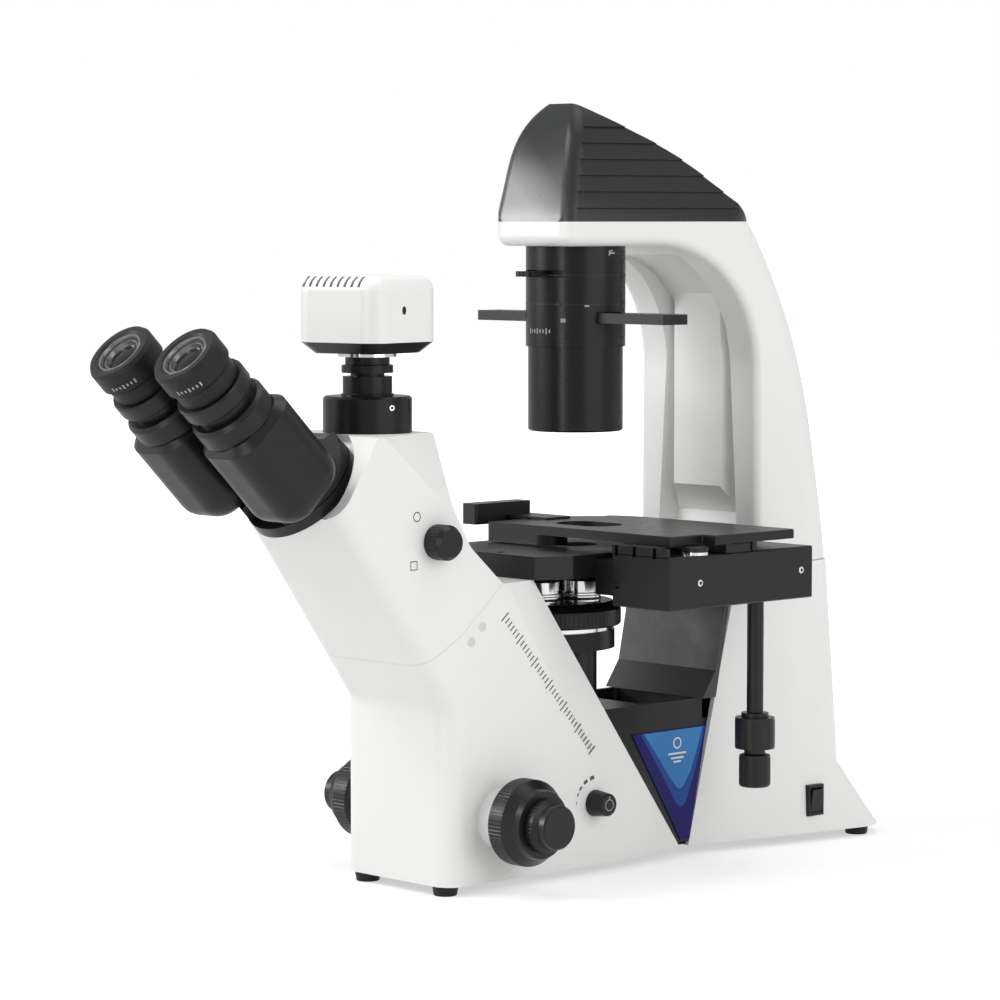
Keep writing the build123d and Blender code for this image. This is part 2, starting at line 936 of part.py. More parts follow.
def focus_rack():
    pitch = pi * gear_module
    pitch_y = focus_y + pinion_radius
    root_y = pitch_y + 1.25 * gear_module
    tip_y_ = pitch_y - gear_module
    face_y = guide_rod_y - 12
    slope = gear_module * 0.364
    half_gap = pitch / 4 + backlash / 2
    corners = [(face_y, carriage_top_z), (face_y, 22), (root_y, 22)]
    first = -6
    for tooth in range(first, 7):
        middle = focus_z + tooth * pitch
        base_half = pitch / 2 - half_gap + 1.25 * slope
        tip_half = pitch / 2 - half_gap - slope
        corners += [(root_y, middle - base_half), (tip_y_, middle - tip_half)]
        corners += [(tip_y_, middle + tip_half), (root_y, middle + base_half)]
    corners += [(root_y, carriage_top_z)]
    return slab(corners, 5)


def focus_pinion():
    root = pinion_radius - 1.25 * gear_module
    tip = pinion_radius + gear_module
    step = 2 * pi / pinion_teeth
    base_half = step * 0.25 - backlash / 4 / pinion_radius + 0.06
    tip_half = step * 0.25 - backlash / 4 / pinion_radius - 0.062
    corners = []
    for tooth in range(pinion_teeth):
        middle = (tooth + 0.5) * step
        for angle, radius in ((-base_half, root), (-tip_half, tip), (tip_half, tip), (base_half, root)):
            corners.append((radius * cos(middle + angle), radius * sin(middle + angle)))
    gear = prism(focus_axis, corners, -5, 5)
    return gear - disc(focus_axis, coarse_tube_radius + 0.02, -6, 6)


def guide_rods():
    rods = [disc(upright(x, guide_rod_y), guide_rod_radius, plate_floor_z, guide_rod_top_z)
            for x in (-guide_rod_x, guide_rod_x)]
    return Compound(children=rods)


def nose_body():
    top = turret_bottom_z - 3
    body = disc(turret_axis, nose_body_radius, nose_body_bottom_z, top)
    body += disc(turret_axis, 6, top, turret_top_z + 0.5)
    return body - disc(optical, column_tube_bore, nose_body_bottom_z - 1, top + 1)


def nose_rim():
    low = turret_bottom_z - 3
    return disc(turret_axis, nose_rim_radius, low, turret_bottom_z - 0.3, bore=nose_rim_radius - 4)


def nose_turret():
    low = turret_bottom_z
    body = turned(
        turret_axis,
        [
            (6 + running_gap, low),
            (turret_radius - 1, low),
            (turret_radius, low + 1),
            (turret_radius, low + 11),
            (turret_radius - 1, low + 12),
            (42, turret_top_z),
            (6 + running_gap, turret_top_z),
        ],
    )
    for place in objective_places():
        body -= disc(place, 9, low - 1, turret_top_z + 1)
        body -= disc(place, 10.05, turret_top_z - 8, turret_top_z + 1)
    return body


def objective_places():
    places = []
    for number in range(objective_count):
        angle = pi / 2 + number * 2 * pi / objective_count
        places.append(upright(pitch_radius * cos(angle), turret_y + pitch_radius * sin(angle)))
    return places


def objective(number):
    place = objective_places()[number]
    low = turret_top_z - 8
    seat = turret_top_z
    tip = objective_tip_z - 0.8 * number
    shoulder = seat + 14
    return turned(
        place,
        [
            (5.5, low),
            (10, low),
            (10, seat),
            (objective_radius, seat),
            (objective_radius, seat + 6),
            (objective_radius - 0.8, seat + 6.6),
            (objective_radius - 0.8, shoulder),
            (objective_radius - 3, shoulder + 2),
            (6.5, tip - 1.5),
            (5, tip),
            (3.2, tip),
            (3.2, tip - 4),
            (5.5, tip - 8),
        ],
    )


# Coaxial focus drive across the front section
def focus_collars():
    collar_bore = coarse_tube_radius + running_gap
    ring = disc(focus_axis, collar_radius, body_half, body_half + collar_length, bore=collar_bore)
    return both_sides(ring)


coarse_start = body_half + collar_length + 0.5
coarse_end = coarse_start + coarse_length
fine_start = coarse_end + 0.5
fine_end = fine_start + fine_length


def coarse_drive():
    knob = turned(
        focus_axis,
        [
            (fine_shaft_radius + 1, coarse_start),
            (coarse_radius - 2, coarse_start),
            (coarse_radius, coarse_start + 2),
            (coarse_radius, coarse_start + 14),
            (coarse_radius - 5, coarse_start + 20),
            (coarse_radius - 6, coarse_end),
            (fine_shaft_radius + 1, coarse_end),
        ],
    )
    tube = disc(focus_axis, coarse_tube_radius, -coarse_end, coarse_end)
    drive = tube + knob + mirrored(knob)
    return drive - disc(focus_axis, fine_shaft_radius + running_gap, -coarse_end - 1, coarse_end + 1)


def fine_drive():
    knob = turned(
        focus_axis,
        [
            (0, fine_start),
            (fine_radius + 3, fine_start),
            (fine_radius + 3, fine_start + 6),
            (fine_radius, fine_start + 8),
            (fine_radius, fine_end - 1),
            (fine_radius - 1, fine_end),
            (0, fine_end),
        ],
    )
    shaft = disc(focus_axis, fine_shaft_radius, -fine_start - 1, fine_start + 1)
    return shaft + knob + mirrored(knob)


# Binocular tubes
def binocular_base():
    base = disc(pivot_axis, binocular_base_radius, 0, 8, bore=12)
    return base + disc(pivot_axis, 14, 8, housing_start - 0.4, bore=12)


def tube_place():
    return Plane(pivot_axis.from_local_coords((eye_x, -eye_drop, 0)), x_dir=(1, 0, 0), z_dir=pivot_axis.z_dir)


def eye_housing():
    middle = eye_x + housing_offset
    half = housing_width / 2
    rise = housing_height / 2
    section = rectangle(middle - half, middle + half, -eye_drop - rise, -eye_drop + rise, housing_corner)
    body = prism(pivot_axis, section, housing_start, housing_end)
    top = body.faces().sort_by(lambda face: pivot_axis.to_local_coords(face.center()).Z)[-1]
    body = chamfer(top.edges(), 5)
    bottom = body.faces().sort_by(lambda face: pivot_axis.to_local_coords(face.center()).Z)[0]
    body = fillet(bottom.edges(), housing_round)
    reach = binocular_base_radius - 0.5
    hub = disc(pivot_axis, reach, 8 + moving_gap, housing_start, bore=14 + running_gap)
    spread = radians(65)
    far = reach * 3
    wedge = [(0, 0), (far * cos(spread), -far * sin(spread)), (far * cos(spread), far * sin(spread))]
    hub = hub & prism(pivot_axis, wedge, 0, 30)
    place = tube_place()
    neck = turned(
        place,
        [
            (13, housing_end - 2),
            (24, housing_end - 2),
            (25, housing_end),
            (25, housing_end + 11),
            (23, housing_end + 13.5),
            (19, housing_end + 13.5),
            (19, housing_end + 19.5),
            (17, housing_end + 19.5),
            (17, housing_end + 31),
            (13, housing_end + 31),
        ],
    )
    body += hub
    body += neck
    return body - disc(place, 13, housing_end - 30, housing_end + 40)


def diopter_ring():
    low = housing_end + 19.5 + moving_gap
    high = housing_end + 31 - moving_gap
    return turned(tube_place(), [(17 + running_gap, low), (22.5, low), (23.3, low + 1.5), (23.3, high - 1.5),
                                 (22.5, high), (17 + running_gap, high)])


def eyepiece():
    low = housing_end + 31
    return turned(
        tube_place(),
        [
            (10, low),
            (20, low),
            (20, low + 9.5),
            (21, low + 10.5),
            (eyecup_radius, low + 12),
            (eyecup_radius, eye_end - 2.5),
            (eyecup_radius - 1.5, eye_end),
            (17, eye_end),
            (13.5, eye_end - 3),
            (11.5, eye_end - 3.4),
            (11.5, eye_end - 7.6),
            (10, eye_end - 7.6),
        ],
    )


def eye_lens():
    return lens(tube_place(), 11.5 - 0.1, eye_end - 7.6, eye_end - 6, 2)


# Camera on its adapter
def port_collar():
    return turned(port_axis, [(16, head_top_z), (port_collar_radius, head_top_z),
                              (port_collar_radius, head_top_z + port_collar_height - 1.5),
                              (port_collar_radius - 1.5, head_top_z + port_collar_height),
                              (16, head_top_z + port_collar_height)])


def camera_adapter():
    low = head_top_z + port_collar_height + 0.3
    neck = adapter_radius - 3
    return turned(
        port_axis,
        [
            (adapter_bore, low - 18),
            (16 - running_gap, low - 18),
            (16 - running_gap, low),
            (adapter_radius + 1, low),
            (adapter_radius + 1, low + 1),
            (adapter_radius, low + 1.4),
            (adapter_radius, low + 12),
            (adapter_bore + 2.3, low + 12),
            (adapter_bore + 2.3, low + 14.2),
            (adapter_radius + 0.7, low + 14.2),
            (adapter_radius + 0.7, low + 19),
            (adapter_radius - 1.6, low + 19.6),
            (adapter_radius - 1.6, adapter_top_z - 2.4),
            (neck, adapter_top_z - 2.4),
            (neck, adapter_top_z),
            (adapter_bore, adapter_top_z),
        ],
    )


def adapter_flange():
    flange_bore = adapter_radius - 2.98
    return disc(port_axis, adapter_radius + 2.9, adapter_top_z - 2.4, adapter_top_z, bore=flange_bore)


camera_place = port_axis * Rot(0, 0, camera_turn)


def camera_base():
    half = camera_side / 2
    low = outline(rectangle(7 - half, half - 7, 7 - half, half - 7, 10))
    high = outline(rectangle(-half, half, -half, half, 12))
    body = loft([Plane.XY.offset(adapter_top_z) * low,
                 Plane.XY.offset(adapter_top_z + camera_base_height) * high], ruled=True)
    return camera_place * (body - disc(upright(0, 0), adapter_bore, adapter_top_z - 1, adapter_top_z + 3))


def camera_shell():
    half = camera_side / 2
    low = adapter_top_z + camera_base_height
    high = low + camera_height
    body = prism(Plane.XY, rectangle(-half, half, -half, half, 12), low, high)
    top = body.faces().sort_by(Axis.Z)[-1]
    body = fillet(top.edges(), 9.5)
    for slot in range(9):
        x = (slot - 4.5) * 5.6
        cutter = Box(2.2, 14, 6, align=(Align.CENTER, Align.CENTER, Align.CENTER))
        body -= Pos(x, 1.5 - half, high - 1.5) * Rot(45, 0, 0) * cutter
    body -= disc(across_x(-4, low + 20), 1.6, half - 4, half + 4)
    return camera_place * body


# Controls
def selector_knob():
    axis = across_x(selector_y, selector_z)
    knob = turned(axis, [(0, body_half + 0.4), (selector_radius, body_half + 0.4),
                         (selector_radius, body_half + selector_length - 3),
                         (selector_radius - 2, body_half + selector_length), (0, body_half + selector_length)])
    return knob + disc(axis, 4, 26, body_half + 0.4)


def dimmer_knob():
    axis = across_x(dimmer_y, dimmer_z)
    knob = turned(axis, [(0, body_half + 0.4), (dimmer_radius, body_half + 0.4),
                         (dimmer_radius - 1.4, body_half + dimmer_length - 1),
                         (dimmer_radius - 2.4, body_half + dimmer_length), (0, body_half + dimmer_length)])
    return knob + disc(axis, 3, cavity_half - 4, body_half + 0.4)


def switch_bezel():
    floor_x = switch_face_x - 5
    flange = block(floor_x, switch_face_x, switch_y - 7.5, switch_y + 7.5, switch_z - 10.6, switch_z + 10.6)
    body = block(floor_x - 14, floor_x, switch_y - 6.6, switch_y + 6.6, switch_z - 9.3, switch_z + 9.3)
    well_plan = rectangle(switch_face_x - 9, switch_face_x + 5, switch_y - 5.6, switch_y + 5.6)
    well = prism(Plane.XY, well_plan, switch_z - 8.6, switch_z + 8.6)
    return flange + body - well


def switch_rocker():
    face = switch_face_x + 0.4
    wing = prism(
        Plane(origin=(0, switch_y, 0), x_dir=(1, 0, 0), z_dir=(0, -1, 0)),
        [
            (face - 5, switch_z - 7.8),
            (face - 0.6, switch_z - 8.0),
            (face + 0.2, switch_z),
            (face + 1.4, switch_z + 7.6),
            (face - 5, switch_z + 7.2),
        ],
        -5.2,
        5.2,
    )
    pivot = Plane(origin=(switch_face_x - 2.5, switch_y, switch_z), x_dir=(1, 0, 0), z_dir=(0, -1, 0))
    return wing + disc(pivot, 1.2, -5.5, 5.5)


def mains_inlet():
    floor_y = rear_y - inlet_depth
    flange = block(-24, 24, floor_y, floor_y + 4, inlet_z - 14, inlet_z + 14)
    body = block(-13.7, 13.7, floor_y - 20, floor_y, inlet_z - 9.7, inlet_z + 9.7)
    inlet = flange + body - block(-12, 12, floor_y - 15, rear_y + 5, inlet_z - 8, inlet_z + 8)
    for x, z in ((-7, 1.5), (7, 1.5), (0, -2)):
        inlet += block(x - 1, x + 1, floor_y - 15, rear_y - 6, inlet_z + z - 2, inlet_z + z + 2)
    return inlet


# Tray and V panels between the two sections, and the dark cover over the rear section's front
def base_tray():
    low = tray_bottom_z
    rear = rear_front_y + rear_front_lean * (low - foot_height) - front_cover_thickness - 1
    tray = block(-panel_outer, panel_outer, -34, rear, low, tray_top_z)
    pocket = rectangle(3 - panel_outer, panel_outer - 3, 26, rear - 3, 4)
    tray -= prism(Plane.XY, pocket, low + 4, tray_top_z + 1)
    return tray - disc(optical, column_tube_radius + 1, low - 1, tray_top_z + 1)


def slanted_front(z):
    return toe_y - (z - foot_height) * (toe_y - ledge_end_y) / (ledge_z - foot_height)


def v_corners(low_shift, high_shift, rear_shift, low, high):
    lean = rear_front_lean
    return [
        (slanted_front(low) + low_shift, low),
        (slanted_front(high) + high_shift, high),
        (rear_front_y + rear_shift + lean * (high - foot_height), high),
        (rear_front_y + rear_shift + lean * (low - foot_height), low),
    ]


def badge_panels():
    corners = v_corners(-8, -8, -moving_gap, plate_floor_z + 0.1, tray_bottom_z)
    return both_sides(prism(Plane.YZ, corners, panel_outer - panel_thickness, panel_outer))


def badge_inlays():
    corners = v_corners(6, 15, -1, plate_floor_z + 2, tray_bottom_z - 5)
    return both_sides(prism(Plane.YZ, corners, panel_outer, panel_outer + inlay_thickness))


def front_cover():
    shift = -front_cover_thickness - seat_gap
    low = tray_top_z
    cover = rear_front_line(shift, 46, low, ledge_z - 0.5, front_cover_thickness)
    start = rear_front_y + shift + rear_front_lean * (low - foot_height)
    lean = rear_front_lean
    top = start + lean * 18
    skirt = slab([(start - 9, low), (top, low + 18), (top + 1, low + 18), (start + 1, low)], 46)
    return cover + skirt


# Optics and power parts inside the stand
def fold_mirror():
    low = plate_floor_z
    return slab([(-16, low), (18, low), (18, low + 37), (-16, low + 23.4)], 16)


def head_prism():
    deep = head_wall / sqrt(2) * 1.1
    return prism(pivot_axis, rectangle(-16, 16, -8, 24), -deep - 30, -deep)


def power_supply():
    front = rear_front_y + supply_setback
    half = supply_width / 2
    return block(-half, half, front, front + supply_length, plate_floor_z, plate_floor_z + supply_height)


body = front_body()
right_housing = eye_housing()
right_ring = diopter_ring()
right_eyepiece = eyepiece()
right_lens = eye_lens()
parts = {
    "base_front_casting": base_front(body),
    "head_casing": head_casing(body),
    "base_rear_casting": base_rear(),
    "bottom_plate": bottom_plate(),
    "rubber_feet": rubber_feet(),
    "column_arm": column_arm(),
    "column_front_cover": front_cover(),
    "base_tray": base_tray(),
    "badge_panels": badge_panels(),
    "badge_inlays": badge_inlays(),
    "lamp_cover": lamp_cover(),
    "lamp_unit": lamp_unit(),
    "condenser_upper_barrel": condenser_upper(),
    "condenser_lower_barrel": condenser_lower(),
    "condenser_lens": condenser_lens(),
    "aperture_lever": aperture_lever(),
    "phase_slider": phase_slider(),
    "stage_support": stage_support(),
    "stage_rail": stage_rail(),
    "stage_block": stage_block(),
    "stage_plate": stage_plate(),
    "specimen_clip": specimen_clip(),
    "clamp_screw": clamp_screw(),
    "y_drive_knob": y_drive_knob(),
    "x_drive_knob": x_drive_knob(),
    "lift_carriage": lift_carriage(),
    "focus_rack": focus_rack(),
    "focus_pinion": focus_pinion(),
    "guide_rods": guide_rods(),
    "nosepiece_body": nose_body(),
    "nosepiece_rim": nose_rim(),
    "nosepiece_turret": nose_turret(),
    "objectives_dark": Compound(children=[objective(number) for number in (0, 1, 2)]),
    "objectives_bright": Compound(children=[objective(number) for number in (3, 4)]),
    "focus_collars": focus_collars(),
    "coarse_focus": coarse_drive(),
    "fine_focus": fine_drive(),
    "binocular_base": binocular_base(),
    "eye_housing_right": right_housing,
    "eye_housing_left": mirrored(right_housing),
    "diopter_ring_right": right_ring,
    "diopter_ring_left": mirrored(right_ring),
    "eyepiece_right": right_eyepiece,
    "eyepiece_left": mirrored(right_eyepiece),
    "eye_lens_right": right_lens,
    "eye_lens_left": mirrored(right_lens),
    "port_collar": port_collar(),
    "camera_adapter": camera_adapter(),
    "adapter_flange": adapter_flange(),
    "camera_base": camera_base(),
    "camera_shell": camera_shell(),
    "selector_knob": selector_knob(),
    "dimmer_knob": dimmer_knob(),
    "switch_bezel": switch_bezel(),
    "switch_rocker": switch_rocker(),
    "mains_inlet": mains_inlet(),
    "fold_mirror": fold_mirror(),
    "head_prism": head_prism(),
    "power_supply": power_supply(),
}

os.makedirs("parts", exist_ok=True)
for name, shape in parts.items():
    export_step(shape, f"parts/{name}.step")
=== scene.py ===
from math import cos, pi, radians, sin

import bmesh
import bpy
from mathutils import Matrix, Vector


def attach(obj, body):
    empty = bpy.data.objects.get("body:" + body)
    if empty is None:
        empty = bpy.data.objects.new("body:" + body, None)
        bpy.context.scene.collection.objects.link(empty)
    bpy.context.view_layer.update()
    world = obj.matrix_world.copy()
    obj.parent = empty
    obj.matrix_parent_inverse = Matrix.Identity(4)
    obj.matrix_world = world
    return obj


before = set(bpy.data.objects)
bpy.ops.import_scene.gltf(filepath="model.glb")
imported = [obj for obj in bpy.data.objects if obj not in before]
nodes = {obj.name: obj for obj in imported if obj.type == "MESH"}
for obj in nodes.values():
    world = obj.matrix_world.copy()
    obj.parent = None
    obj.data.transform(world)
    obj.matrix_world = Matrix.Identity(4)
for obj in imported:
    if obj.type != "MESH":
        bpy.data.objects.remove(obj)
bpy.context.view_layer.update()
mm = 0.001
print("frame loaded:", len(nodes), "nodes")


# Shader expressions: a wrapped socket adds Math nodes as it is used in sums
class Sock:
    def __init__(self, shader, socket):
        self.shader = shader
        self.socket = socket

    def mathNode(self, operation, first, second):
        return self.shader.node("ShaderNodeMath", {"operation": operation}, {0: first, 1: second})

    def __add__(self, other):
        return self.mathNode("ADD", self, other)

    def __radd__(self, other):
        return self.mathNode("ADD", other, self)

    def __sub__(self, other):
        return self.mathNode("SUBTRACT", self, other)

    def __rsub__(self, other):
        return self.mathNode("SUBTRACT", other, self)

    def __mul__(self, other):
        return self.mathNode("MULTIPLY", self, other)

    def __rmul__(self, other):
        return self.mathNode("MULTIPLY", other, self)

    def __gt__(self, other):
        return self.mathNode("GREATER_THAN", self, other)

    def __lt__(self, other):
        return self.mathNode("LESS_THAN", self, other)


class Shader:
    def __init__(self, tree):
        self.tree = tree
        self.tree.nodes.clear()

    def node(self, kind, settings=None, sockets=None, out=0):
        item = self.tree.nodes.new(kind)
        for key, value in (settings or {}).items():
            setattr(item, key, value)
        for key, value in (sockets or {}).items():
            if isinstance(value, Sock):
                self.tree.links.new(value.socket, item.inputs[key])
            else:
                item.inputs[key].default_value = value
        return Sock(self, item.outputs[out]) if item.outputs else None

    def noise(self, place, scale, detail=3.0):
        return self.node("ShaderNodeTexNoise", None, {"Vector": place, "Scale": scale, "Detail": detail})

    def mixColour(self, factor, first, second):
        settings = {"data_type": "RGBA", "clamp_factor": True}
        return self.node("ShaderNodeMix", settings, {0: factor, 6: first, 7: second}, out=2)


def rgba(colour, share=1.0):
    return (colour[0] * share, colour[1] * share, colour[2] * share, 1.0)


# What all finishes share. A smudge is finer than the mottle, and noise swings round its mean
detail = dict(broad=4.0, smudge=6.0, smudgeTimes=5, noiseMean=0.5, grainShare=0.5,
              speck=2.0, speckScale=900.0, speckShare=0.06, speckColour=(0.5, 0.49, 0.47))


# One finish: mottled colour with specks of dust, fine grain and slow waviness in the bump, patchy roughness.
# A fade thins the clear coat along a slope through the piece
def surface(name, look):
    material = bpy.data.materials.new(name)
    material.use_nodes = True
    shader = Shader(material.node_tree)
    place = shader.node("ShaderNodeTexCoord", out=3)
    drawn = place
    if "stretch" in look:
        drawn = shader.node("ShaderNodeMapping", None, {"Vector": place, "Scale": look["stretch"]})
    broad = shader.noise(place, look["mottleScale"], detail["broad"])
    grain = shader.noise(drawn, look["grainScale"])
    smudge = shader.noise(place, look["mottleScale"] * detail["smudgeTimes"], detail["smudge"])
    specks = shader.noise(place, detail["speckScale"], detail["speck"]) > 1.0 - look.get("dust", 0.0)
    tint = shader.mixColour(broad, rgba(look["colour"], 1 - look["mottle"]), rgba(look["colour"]))
    tint = shader.mixColour(specks * detail["speckShare"], tint, rgba(detail["speckColour"]))
    mean = detail["noiseMean"]
    spread = look["roughSpread"]
    rough = (smudge - mean) * spread + (grain - mean) * spread * detail["grainShare"] + look["rough"]
    height = grain + broad * look.get("wave", 0.0)
    bump = shader.node("ShaderNodeBump", None,
                       {"Strength": look["bump"], "Distance": look["bumpDepth"], "Height": height})
    fixed = {"Base Color": tint, "Roughness": rough, "Normal": bump, "Metallic": look.get("metal", 0.0)}
    fixed.update(look.get("extra", {}))
    if "fade" in look:
        start, rates = look["fade"]
        slope = shader.node("ShaderNodeVectorMath", {"operation": "DOT_PRODUCT"}, {0: place, 1: rates}, out=1)
        fixed["Coat Weight"] = shader.node("ShaderNodeClamp", None, {0: start - slope, 1: 0.0, 2: 1.0})
    done = shader.node("ShaderNodeBsdfPrincipled", None, fixed)
    shader.node("ShaderNodeOutputMaterial", None, {"Surface": done})
    return material


finishes = {
    "whitePaint": dict(colour=(0.80, 0.797, 0.785), mottle=0.025, mottleScale=14.0, grainScale=1500.0,
                       rough=0.38, roughSpread=0.14, bump=0.16, bumpDepth=0.0002, wave=0.4,
                       extra={"Coat Weight": 0.12, "Coat Roughness": 0.35}),
    "plugPaint": dict(colour=(0.64, 0.638, 0.63), mottle=0.05, mottleScale=60.0, grainScale=1500.0,
                      rough=0.45, roughSpread=0.14, bump=0.1, bumpDepth=0.0001),
    "blackMetal": dict(colour=(0.008, 0.008, 0.0088), mottle=0.25, mottleScale=30.0, grainScale=2600.0,
                       rough=0.36, roughSpread=0.2, bump=0.18, bumpDepth=0.0001, dust=0.27,
                       extra={"Specular IOR Level": 0.3}),
    "blackTurned": dict(colour=(0.0065, 0.0065, 0.007), mottle=0.25, mottleScale=30.0, grainScale=40.0,
                        rough=0.28, roughSpread=0.08, bump=0.015, bumpDepth=0.0001, dust=0.12,
                        stretch=(1.0, 1.0, 60.0), extra={"Specular IOR Level": 0.22}),
    "blackPlastic": dict(colour=(0.0075, 0.0075, 0.0083), mottle=0.2, mottleScale=26.0, grainScale=1900.0,
                         rough=0.36, roughSpread=0.16, bump=0.25, bumpDepth=0.00015, dust=0.27,
                         extra={"Specular IOR Level": 0.32}),
    "lampPlastic": dict(colour=(0.029, 0.0298, 0.0305), mottle=0.15, mottleScale=12.0, grainScale=1300.0,
                        rough=0.3, roughSpread=0.14, bump=0.3, bumpDepth=0.0002, wave=0.3, dust=0.25,
                        fade=(13.16, (22, 0, 28)),
                        extra={"Specular IOR Level": 0.17, "Coat Roughness": 0.34}),
    "satinRing": dict(colour=(0.2, 0.2, 0.2), mottle=0.2, mottleScale=40.0, grainScale=1500.0,
                      rough=0.25, roughSpread=0.15, bump=0.05, bumpDepth=0.0001, metal=0.6),
    "darkGrey": dict(colour=(0.068, 0.069, 0.07), mottle=0.15, mottleScale=16.0, grainScale=1500.0,
                     rough=0.42, roughSpread=0.15, bump=0.2, bumpDepth=0.00015,
                     extra={"Specular IOR Level": 0.2}),
    "softRubber": dict(colour=(0.009, 0.009, 0.009), mottle=0.3, mottleScale=40.0, grainScale=2200.0,
                       rough=0.5, roughSpread=0.2, bump=0.3, bumpDepth=0.00015, dust=0.3,
                       extra={"Specular IOR Level": 0.26}),
    "plating": dict(colour=(0.74, 0.74, 0.75), mottle=0.06, mottleScale=60.0, grainScale=3000.0,
                    rough=0.15, roughSpread=0.12, bump=0.05, bumpDepth=0.00005, metal=1.0),
    "groundSteel": dict(colour=(0.5, 0.5, 0.52), mottle=0.1, mottleScale=50.0, grainScale=60.0,
                        rough=0.26, roughSpread=0.15, bump=0.1, bumpDepth=0.00005, metal=1.0,
                        stretch=(1.0, 1.0, 50.0)),
    "brassParts": dict(colour=(0.62, 0.43, 0.16), mottle=0.15, mottleScale=60.0, grainScale=2400.0,
                       rough=0.3, roughSpread=0.2, bump=0.08, bumpDepth=0.00005, metal=1.0),
    "lensGlass": dict(colour=(0.9, 0.95, 1.0), mottle=0.02, mottleScale=20.0, grainScale=900.0,
                      rough=0.03, roughSpread=0.02, bump=0.0, bumpDepth=0.00001,
                      extra={"Transmission Weight": 1.0, "IOR": 1.52, "Coat Weight": 0.5}),
    # Eye lenses: opaque near-black glass; the dark colour is painted shade for the unlit inside of each
    # eyepiece
    "eyeGlassPaintedShade": dict(colour=(0.008, 0.009, 0.012), mottle=0.3, mottleScale=60.0, grainScale=900.0,
                     rough=0.05, roughSpread=0.04, bump=0.0, bumpDepth=0.00001,
                     extra={"Specular IOR Level": 0.35}),
    "mirrorFace": dict(colour=(0.85, 0.86, 0.88), mottle=0.02, mottleScale=20.0, grainScale=900.0,
                       rough=0.06, roughSpread=0.03, bump=0.0, bumpDepth=0.00001, metal=1.0),
    "badgeBlue": dict(colour=(0.010, 0.0065, 0.125), mottle=0.2, mottleScale=30.0, grainScale=1800.0,
                      rough=0.22, roughSpread=0.08, bump=0.03, bumpDepth=0.00005,
                      extra={"Specular IOR Level": 0.15}),
    "badgeMid": dict(colour=(0.012, 0.072, 0.32), mottle=0.3, mottleScale=40.0, grainScale=1800.0,
                     rough=0.22, roughSpread=0.08, bump=0.03, bumpDepth=0.00005,
                     extra={"Specular IOR Level": 0.15}),
    "badgePale": dict(colour=(0.055, 0.255, 0.6), mottle=0.4, mottleScale=34.0, grainScale=1800.0,
                      rough=0.22, roughSpread=0.08, bump=0.03, bumpDepth=0.00005,
                      extra={"Specular IOR Level": 0.15}),
    # Dark ink for the printed marks, also used as painted shade on the camera's vent floors
    "greyInkAndShade": dict(colour=(0.06, 0.06, 0.065), mottle=0.1, mottleScale=60.0, grainScale=2000.0,
                    rough=0.5, roughSpread=0.1, bump=0.02, bumpDepth=0.00002),
    "whiteInk": dict(colour=(0.72, 0.74, 0.76), mottle=0.05, mottleScale=60.0, grainScale=2000.0,
                     rough=0.5, roughSpread=0.1, bump=0.02, bumpDepth=0.00002),
    "paleInk": dict(colour=(0.36, 0.36, 0.36), mottle=0.1, mottleScale=60.0, grainScale=2000.0,
                    rough=0.5, roughSpread=0.1, bump=0.02, bumpDepth=0.00002),
}
made = {name: surface(name, look) for name, look in finishes.items()}
print("finishes made:", len(made))

wears = {
    "whitePaint": ["base_front_casting", "head_casing", "base_rear_casting", "column_arm",
                   "focus_collars", "camera_shell"],
    "blackMetal": ["bottom_plate", "base_tray", "stage_support", "stage_rail", "stage_block", "stage_plate",
                   "specimen_clip", "lift_carriage", "lamp_unit", "binocular_base", "aperture_lever",
                   "phase_slider", "power_supply", "eye_housing_right", "eye_housing_left"],
    "blackTurned": ["condenser_upper_barrel", "condenser_lower_barrel", "nosepiece_body",
                    "nosepiece_turret", "camera_adapter", "objectives_dark", "port_collar"],
    "blackPlastic": ["badge_panels", "coarse_focus", "fine_focus", "y_drive_knob", "x_drive_knob",
                     "selector_knob", "dimmer_knob", "switch_bezel", "switch_rocker", "mains_inlet",
                     "diopter_ring_right", "diopter_ring_left", "camera_base", "clamp_screw"],
    "lampPlastic": ["lamp_cover"],
    "darkGrey": ["column_front_cover"],
    "softRubber": ["rubber_feet", "eyepiece_right", "eyepiece_left"],
    "plating": ["nosepiece_rim", "adapter_flange", "objectives_bright"],
    "groundSteel": ["guide_rods"],
    "brassParts": ["focus_rack", "focus_pinion"],
    "lensGlass": ["condenser_lens", "head_prism"],
    "eyeGlassPaintedShade": ["eye_lens_right", "eye_lens_left"],
    "mirrorFace": ["fold_mirror"],
    "badgeBlue": ["badge_inlays"],
}
for finish, names in wears.items():
    for name in names:
        data = nodes[name].data
        data.materials.clear()
        data.materials.append(made[finish])
print("CAD nodes dressed")


# Small pieces that the CAD leaves to the looks. Sizes are in millimetres, in the CAD's own frame
def acrossX(x, y, z):
    return Matrix(((0, 0, 1, x), (1, 0, 0, y), (0, 1, 0, z), (0, 0, 0, 1)))


def upright(x, y, z):
    return Matrix.Translation((x, y, z))


def onBarrel(place, radius, angle, height):
    turn = Matrix.Rotation(radians(angle), 4, "Z")
    return place @ Matrix.Translation((0, 0, height)) @ turn @ acrossX(radius, 0, 0)


flipX = Matrix.Diagonal((-1, 1, 1, 1))
weldGap = 0.001


def addPiece(name, bm, body, finish, sharp=32):
    bmesh.ops.remove_doubles(bm, verts=bm.verts, dist=weldGap)
    bmesh.ops.recalc_face_normals(bm, faces=bm.faces)
    bmesh.ops.scale(bm, vec=(mm, mm, mm), verts=bm.verts)
    mesh = bpy.data.meshes.new(name)
    bm.to_mesh(mesh)
    bm.free()
    mesh.polygons.foreach_set("use_smooth", [True] * len(mesh.polygons))
    mesh.set_sharp_from_angle(angle=radians(sharp))
    piece = bpy.data.objects.new(name, mesh)
    bpy.context.collection.objects.link(piece)
    mesh.materials.append(made[finish])
    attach(piece, body)
    return piece


